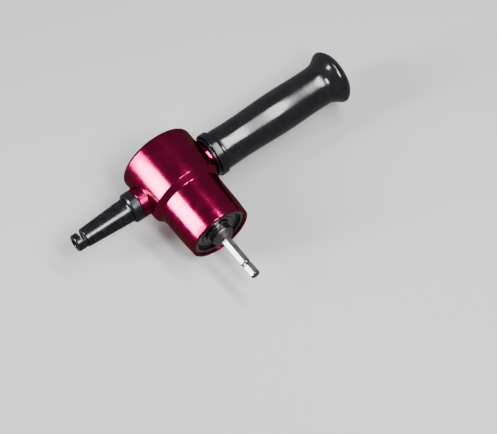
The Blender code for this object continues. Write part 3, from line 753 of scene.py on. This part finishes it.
def make_shaft_body():
    tip, _ = ends("drive_shaft", "Y")
    disc_face, disc_back = CRANK_DISC
    groove_r = SHAFT_RING[0][0] - GAP
    neck_start, neck_end = PIN_NECK
    body = [(disc_face, 0), (disc_face, CRANK_DISC_R, 0.5), (disc_back, CRANK_DISC_R),
            (disc_back, SHOULDER_R), (SHOULDER_END, SHOULDER_R), (SHOULDER_END, JOURNAL_R),
            *groove("shaft_circlip", JOURNAL_R, groove_r, 0), (CONE_START, JOURNAL_R, 0.6),
            (CONE_END, CONE_END_R, 0.5), (CONE_END, 0)]
    limit = [(SHANK_START + 0.5, 0), (SHANK_START + 0.5, SHANK_CLEAR_R, 0),
             (DETENT[0][0], SHANK_CLEAR_R, 0), *[(*corner, 0.6) for corner in DETENT],
             (DETENT[-1][0], SHANK_CLEAR_R, 0), (tip + TIP_CHAMFER, SHANK_CLEAR_R, 0),
             (tip + TIP_CHAMFER, SHANK_CORNER_R, 0.3), (tip, TIP_R, 0.3), (tip, CENTRE_HOLE),
             (tip + CENTRE_HOLE, 0)]
    crank_pin = [(disc_face - 0.5, 0), (disc_face - 0.5, PIN_R, 0), (neck_start, PIN_R),
                 (neck_start, PIN_NECK_R), (neck_end, PIN_NECK_R), (neck_end, PIN_HEAD_R),
                 (PIN_END, PIN_HEAD_R, 0.3), (PIN_END, 0)]

    def hexagon(inset):
        corner = (HEX_FLATS / 2 - inset) / math.cos(math.radians(30))
        return soften([(*on_circle(corner, HEX_TURN + 60 * number), 0.3) for number in range(6)])

    shank = combined(prism(hexagon, tip - PAST, SHANK_START, 0),
                     ("INTERSECT", turned(limit, segments=96)))
    pin = turned(crank_pin, segments=SMALL, centre=PIN_PLACE)
    shaft = combined(turned(body, segments=MEDIUM), ("UNION", shank), ("UNION", pin))
    finished("drive_shaft", shaft)


# ---- Ram and punches ----------------------------------------------------------------
# Stations are measured outwards from the ram's own middle.

ROD_R = 4.5
ROD_END = 24.0
YOKE_HALF_X = 12.5
YOKE_ROUND = 4.0
WINDOW_HALF = (9.4, 6.9)
WINDOW_ROUND = 1.5
SOCKET_START = 15.8
PUNCH_SHANK_R = 2.3
PUNCH_SHOULDER = 46.0
PUNCH_R = 3.0
PUNCH_BORE_R = PUNCH_R + GAP
CROSS_PIN_X = 20.0             # where the punch pins cross the ram
CROSS_PIN_R = 0.9


def upright(outline, x, segments=COARSE, edge=0.0):
    """A lathe shape along Z at one place on the ram's axis."""
    return turned(outline, "Z", segments, edge=edge, centre=(x, 0, 0))


def cross_hole(x):
    """The drilling through a rod for a punch pin."""
    return upright(rod(CROSS_PIN_R + GAP, -ROD_R - 1.5, ROD_R + 1.5), x)


def make_ram():
    """The ram's middle is half a stroke from the crossing while the left punch is back."""
    low, high = ends("ram_yoke", "X")
    front, rear = ends("ram_yoke", "Y")
    half_z = radius_of("ram_yoke", "X")
    middle = (low + high) / 2

    def boxed(half_x, half_z, radius):
        """A prism's outline: a rectangle with round corners, at the ram's middle."""
        def outline(inset):
            box = rounded_box(half_x - inset, half_z - inset, radius - inset)
            return [point + Vector((middle, 0)) for point in box]

        return outline

    rods = turned(rod(ROD_R, low, high), "X", SMALL, edge=0.4)
    window = prism(boxed(*WINDOW_HALF, WINDOW_ROUND), front - PAST, rear + PAST, 0)
    steps = [("UNION", rods), ("DIFFERENCE", window)]
    for _, side in SIDES:
        shift = middle * side
        socket = rod(PUNCH_SHANK_R + GAP, SOCKET_START + shift, ROD_END + PAST + shift)
        steps.append(("DIFFERENCE", turned(socket, "X", SMALL, side, edge=0)))
        steps.append(("DIFFERENCE", cross_hole(middle + CROSS_PIN_X * side)))
    yoke = prism(boxed(YOKE_HALF_X, half_z, YOKE_ROUND), front, rear, 0.5)
    finished("ram_yoke", combined(yoke, *steps), "X")
    for name, side in SIDES:
        make_punch(name, side, middle)


def make_punch(name, side, middle):
    start, end = reach("punch_" + name)
    shift = middle * side                    # how much further out the ram holds this punch
    shank_end = ROD_END + GAP + shift
    shoulder = PUNCH_SHOULDER + shift
    outline = [(start, 0), (start, PUNCH_SHANK_R, 0.3), (shank_end, PUNCH_SHANK_R),
               (shank_end, ROD_R, 0.3), (shoulder, ROD_R, 0.3),
               (shoulder + ROD_R - PUNCH_R, PUNCH_R, 0.8), (end, PUNCH_R, 0.05), (end, 0)]
    cross_x = middle + CROSS_PIN_X * side
    punch = combined(turned(outline, "X", SMALL, side), ("DIFFERENCE", cross_hole(cross_x)))
    finished("punch_" + name, punch, "X")
    node = "punch_pin_" + name
    finished(node, upright(rod(CROSS_PIN_R, *ends(node, "Z")), cross_x, edge=EDGE), "X")


# ---- Cutting heads ------------------------------------------------------------------
# Stations are measured outwards from the crossing.

CORE_R = ROD_R + GAP           # bore round the ram's rods
TUBE_COLLAR = (35.8, 37.1)     # the head tube's flange, which the lock nut clamps
TUBE_OUTER_R = 7.3
TUBE_THREAD_R = 7.0
NUT_BEVEL = 1.2
NUT_FACE_R = 9.6
NUT_LIP = 37.4                 # where the nut's inner lip starts
SLEEVE_THIN_R = 6.7
SLEEVE_BORE = (44.3, 49.8, 61.7)     # where the bore narrows twice, and the die's seat
SLEEVE_BAND = 1.5              # smooth band at the sleeve's thick end
SLEEVE_NOSE = 3.1              # and at its thin end
RIB_PITCH = 1.34
RIB_DEPTH = 0.42
RIB_PROFILE = ((0.0, 1.0), (0.16, 1.0), (0.23, 0.0), (0.93, 0.0))    # shares of pitch and depth
SCREW_HOLE_R = 1.5
COUNTERSINK = ((-9.0, 2.8), (-6.9, SCREW_HOLE_R))    # its (z, radius) outside and inside
SCREW_HOLE_END = -4.0
SCREW_SEGMENTS = 48
SOCKET_R = 0.75                # of the hexagon in a set screw
SOCKET_DEPTH = 0.8
DIE_SPIGOT_R = 5.0
DIE_SHOULDER = 74.3
DIE_ROUND = 1.5
THROAT_START = 73.9
THROAT_END = 77.2
THROAT_FACE = -0.8             # the throat is cut to just past the head's axis
THROAT_CLEAR = 10.0            # clear of the die's outside
THROAT_TURN = 25.0             # degrees from +Y towards +Z that the throat opens


def make_head(name, side):
    start, end = reach("head_tube_" + name)
    collar_start, collar_end = TUBE_COLLAR
    tail = [(start, CORE_R), (start, TUBE_OUTER_R), (collar_start, TUBE_OUTER_R),
            (collar_start, NECK_R), (collar_end, NECK_R), (collar_end, TUBE_THREAD_R),
            (end, TUBE_THREAD_R, 0.5), (end, CORE_R)]
    finished("head_tube_" + name, turned(tail, "X", MEDIUM, side), "X")
    start, end = reach("lock_nut_" + name)
    nut = [(start, NECK_R + GAP), (start, BOSS_R, 0.5), (end - NUT_BEVEL, BOSS_R, 0.5),
           (end, NUT_FACE_R, 0.4), (end, TUBE_OUTER_R), (NUT_LIP, TUBE_OUTER_R),
           (NUT_LIP, NECK_R + GAP)]
    finished("lock_nut_" + name, turned(nut, "X", FINE, side), "X")
    make_sleeve(name, side)
    make_die(name, side)
    make_die_screw(name)


def ribs(start, end, radius_at):
    """Flat-topped ribs with narrow grooves between them, up to the given surface."""
    points = []
    count = round((end - start) / RIB_PITCH)
    pitch = (end - start) / count
    for number in range(count):
        for share, depth in RIB_PROFILE:
            along = start + (number + share) * pitch
            points.append((along, radius_at(along) - depth * RIB_DEPTH, 0))
    return points


def make_sleeve(name, side):
    node = "head_sleeve_" + name
    start, end = reach(node)
    thick = radius_of(node, "X")
    thread_end, core_end, seat = SLEEVE_BORE
    band_end, nose_start = start + SLEEVE_BAND, end - SLEEVE_NOSE
    first_rib, last_groove = band_end + 0.1, nose_start - 0.3

    def surface(along):
        return thick + (SLEEVE_THIN_R - thick) * (along - start) / (end - start)

    outline = [(start, TUBE_OUTER_R), (start, thick - 0.2, 0.5), (band_end, surface(band_end), 0),
               *ribs(first_rib, last_groove, surface),
               (last_groove, surface(last_groove) - RIB_DEPTH, 0),
               (nose_start, surface(nose_start), 0.1), (end, SLEEVE_THIN_R, 0.5),
               (end, DIE_SPIGOT_R + GAP), (seat, DIE_SPIGOT_R + GAP), (seat, PUNCH_BORE_R),
               (core_end, PUNCH_BORE_R), (core_end, CORE_R), (thread_end, CORE_R),
               (thread_end, TUBE_OUTER_R)]
    drilling = [(COUNTERSINK[0][0], 0), *COUNTERSINK, (SCREW_HOLE_END, SCREW_HOLE_R),
                (SCREW_HOLE_END, 0)]
    screw_x = sum(ends("die_screw_" + name, "X")) / 2
    hole = upright(drilling, screw_x, SCREW_SEGMENTS)
    sleeve = combined(turned(outline, "X", MEDIUM, side), ("DIFFERENCE", hole))
    finished(node, sleeve, "X")


def make_die_screw(name):
    """A set screw with a hexagon socket."""
    node = "die_screw_" + name
    low, high = ends(node, "Z")
    screw_x = sum(ends(node, "X")) / 2
    body = upright(rod(radius_of(node, "Z"), low, high), screw_x, SCREW_SEGMENTS, 0.15)
    socket = upright(rod(SOCKET_R, low - PAST, low + SOCKET_DEPTH), screw_x, 6)
    finished(node, combined(body, ("DIFFERENCE", socket)), "X")


def make_die(name, side):
    node = "die_" + name
    start, end = reach(node)
    outer = radius_of(node, "X")
    outline = [(start, PUNCH_BORE_R), (start, DIE_SPIGOT_R, 0.4), (DIE_SHOULDER, DIE_SPIGOT_R),
               (DIE_SHOULDER, outer, 0.3), (end, outer, DIE_ROUND),
               (end, PUNCH_BORE_R + 0.4, 0.15), (end - 0.4, PUNCH_BORE_R)]
    throat = block((THROAT_START, THROAT_FACE, -THROAT_CLEAR),
                   (THROAT_END, THROAT_CLEAR, THROAT_CLEAR))
    if side < 0:
        bmesh.ops.scale(throat, vec=(-1, 1, 1), verts=throat.verts)
        bmesh.ops.reverse_faces(throat, faces=throat.faces)
    turn = Matrix.Rotation(math.radians(THROAT_TURN), 3, "X")
    bmesh.ops.rotate(throat, cent=(0, 0, 0), matrix=turn, verts=throat.verts)
    finished(node, combined(turned(outline, "X", MEDIUM, side), ("DIFFERENCE", throat)), "X")


# ---- Handle -------------------------------------------------------------------------

FLANGE_BORE_R = BOSS_R + GAP
FLANGE_START = 29.0
HUB_R = 13.4
SPIGOT_R = 12.4
GRIP_BORE_R = 9.6
GRIP_STATIONS = [(34.9, 13.9), (38.0, 14.3), (55.0, 14.0), (85.0, 14.9), (108.0, 14.5),
                 (121.0, 14.7), (126.0, 16.4), (130.5, 19.2), (133.5, 18.8), (136.5, 15.6)]
CAP_SEAT = 134.3
CAP_SEAT_R = 12.5
CAP_DISH_R = 7.0
CAP_DISH_DEPTH = 0.5


def make_handle():
    hub_start, spigot_end = ends("handle_flange", "X")
    rim = radius_of("handle_flange", "X")
    grip_start, grip_end = ends("handle_grip", "X")
    shoulder = grip_start - GAP
    flange = [(hub_start, FLANGE_BORE_R, 0.3), (hub_start, HUB_R, 0.3), (FLANGE_START, HUB_R, 0.3),
              (FLANGE_START, rim, 0.8), (shoulder, rim, 0.8), (shoulder, SPIGOT_R),
              (spigot_end, SPIGOT_R, 0.4), (spigot_end, FLANGE_BORE_R)]
    finished("handle_flange", turned(flange, "X"), "X")
    grip = [(along, radius, 0) for along, radius in smooth_line(GRIP_STATIONS, 8)]
    grip[0] = (*grip[0][:2], 0.4)
    grip[-1] = (*grip[-1][:2], 0.8)
    grip += [(grip_end, CAP_SEAT_R, 0.4), (CAP_SEAT, CAP_SEAT_R), (CAP_SEAT, GRIP_BORE_R),
             (spigot_end + GAP, GRIP_BORE_R), (spigot_end + GAP, SPIGOT_R + GAP),
             (grip_start, SPIGOT_R + GAP)]
    finished("handle_grip", turned(grip, "X"), "X")
    start, end = ends("handle_end_cap", "X")
    plug_r, face_r = GRIP_BORE_R - GAP, CAP_SEAT_R - GAP
    dish = end - CAP_DISH_DEPTH
    cap = [(start, 0), (start, plug_r, 0.4), (CAP_SEAT + GAP, plug_r), (CAP_SEAT + GAP, face_r),
           (end, face_r, 0.6), (end, CAP_DISH_R + 0.6, 0.3), (dish, CAP_DISH_R, 0.3), (dish, 0)]
    finished("handle_end_cap", turned(cap, "X", MEDIUM), "X")


# ---- Stage, lights and camera -------------------------------------------------------

FLOOR_SIZE = 3.0
SURROUND = 0.24                # brightness of the dim room round the tool
LIGHT_DISTANCE = 0.9
VIEW_AZIMUTH = math.radians(-37)
VIEW_ELEVATION = math.radians(61.8)
VIEW_DISTANCE = 1.8
VIEW_LENS = 195.6              # millimetres
VIEW_SENSOR = 36               # millimetres across
VIEW_CENTRE = (49.2, -25.3)    # right and up in the view from the crossing, in millimetres


def make_floor():
    shape = bmesh.new()
    bmesh.ops.create_grid(shape, x_segments=1, y_segments=1, size=FLOOR_SIZE)
    floor = as_object(shape, "floor")
    paint = Paint("pale_floor", (0.42, 0.42, 0.42), 0.6)
    floor.data.materials.append(paint.material)
    floor.visible_glossy = False       # gloss mirrors the dim surround, as over a dark table


def softbox(name, aimed_at, towards, level, size, radiance, shape="RECTANGLE", spread=180):
    """A soft light that faces a point, in millimetres from the crossing, from a direction. size
    is in metres, along the level axis and across it, and radiance is what a mirror shows. A
    spread below 180 degrees is a grid on the light, which keeps it off the floor below it."""
    light = bpy.data.lights.new(name, "AREA")
    light.shape = shape
    light.size, light.size_y = size
    fill = math.pi / 4 if shape == "ELLIPSE" else 1.0
    light.energy = radiance * math.pi * size[0] * size[1] * fill
    if spread < 180:
        light.spread = math.radians(spread)
        half = light.spread / 2
        light.energy *= 1 - half / math.tan(half)
    lamp = bpy.data.objects.new(name, light)
    bpy.context.collection.objects.link(lamp)
    back = Vector(towards).normalized()
    along = Vector(level)
    along = (along - back * along.dot(back)).normalized()
    lamp.location = CROSSING + Vector(aimed_at) * MM + back * LIGHT_DISTANCE
    lamp.rotation_euler = Matrix((along, back.cross(along), back)).transposed().to_euler()


def make_lights():
    world = bpy.data.worlds.new("studio")
    bpy.context.scene.world = world
    world.use_nodes = True
    surround = world.node_tree.nodes["Background"]
    surround.inputs["Color"].default_value = (1.0, 1.0, 1.0, 1)
    surround.inputs["Strength"].default_value = SURROUND
    softbox("left_softbox", aimed_at=(0, -40, 0), towards=(-0.84, 0.377, 0.39), level=(0, 1, 0),
            size=(0.16, 0.76), radiance=75, spread=80)
    softbox("handle_strip", aimed_at=(91, 0, 0), towards=(0.284, -0.24, 0.928), level=(1, 0, 0),
            size=(0.12, 0.96), radiance=36, shape="ELLIPSE")
    softbox("head_strip", aimed_at=(-60, 0, 0), towards=(0.1, -0.51, 0.855), level=(1, 0, 0),
            size=(0.2, 0.42), radiance=48, shape="ELLIPSE")


def make_camera():
    right = Vector((math.cos(VIEW_AZIMUTH), math.sin(VIEW_AZIMUTH), 0))
    level = Vector((math.sin(VIEW_AZIMUTH), -math.cos(VIEW_AZIMUTH), 0))
    back = level * math.cos(VIEW_ELEVATION) + Vector((0, 0, math.sin(VIEW_ELEVATION)))
    up = back.cross(right)
    aim = CROSSING + (right * VIEW_CENTRE[0] + up * VIEW_CENTRE[1]) * MM
    camera = bpy.data.objects.new("camera", bpy.data.cameras.new("camera"))
    bpy.context.collection.objects.link(camera)
    camera.data.lens = VIEW_LENS
    camera.data.sensor_width = VIEW_SENSOR
    camera.data.clip_start = 0.01
    camera.location = aim + back * VIEW_DISTANCE
    camera.rotation_euler = back.to_track_quat("Z", "Y").to_euler()
    bpy.context.scene.camera = camera


make_barrel_parts()
make_shaft()
make_ram()
for name, side in SIDES:
    make_head(name, side)
make_handle()
make_floor()
make_lights()
make_camera()
